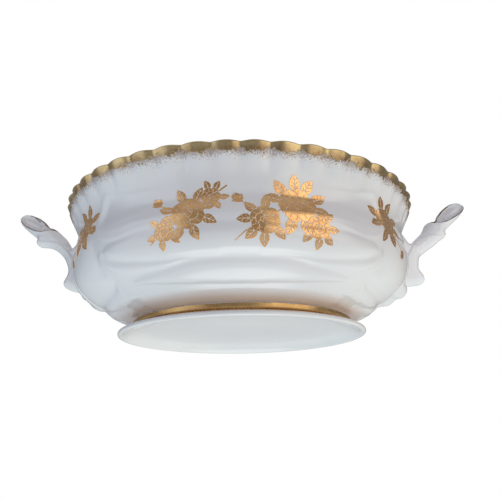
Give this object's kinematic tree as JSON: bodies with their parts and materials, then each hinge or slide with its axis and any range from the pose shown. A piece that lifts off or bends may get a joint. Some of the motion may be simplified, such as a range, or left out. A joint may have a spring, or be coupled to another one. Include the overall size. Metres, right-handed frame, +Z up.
{
  "type": "porcelain serving bowl",
  "caption": "Oval glazed porcelain serving bowl on a low flared foot, with a fluted rim, two upswept handles, gold bands and gold leaf sprays.",
  "frame": {"origin": "centre of the oval foot, on the table plane", "axes": "+X along the two handles, towards the right handle; +Y across the bowl, towards the back; +Z up"},
  "size_m": [0.3186, 0.1794, 0.0915],
  "materials": {
    "porcelain": "clear glossy glaze over white porcelain",
    "gold": "burnished fired gold"
  },
  "bodies": {
    "root": {"bowl_body": "porcelain", "foot_ring": "porcelain", "handle_left": "porcelain", "handle_right": "porcelain", "rim_gilding": "gold", "foot_gold_band": "gold"}
  },
  "joints": []
}
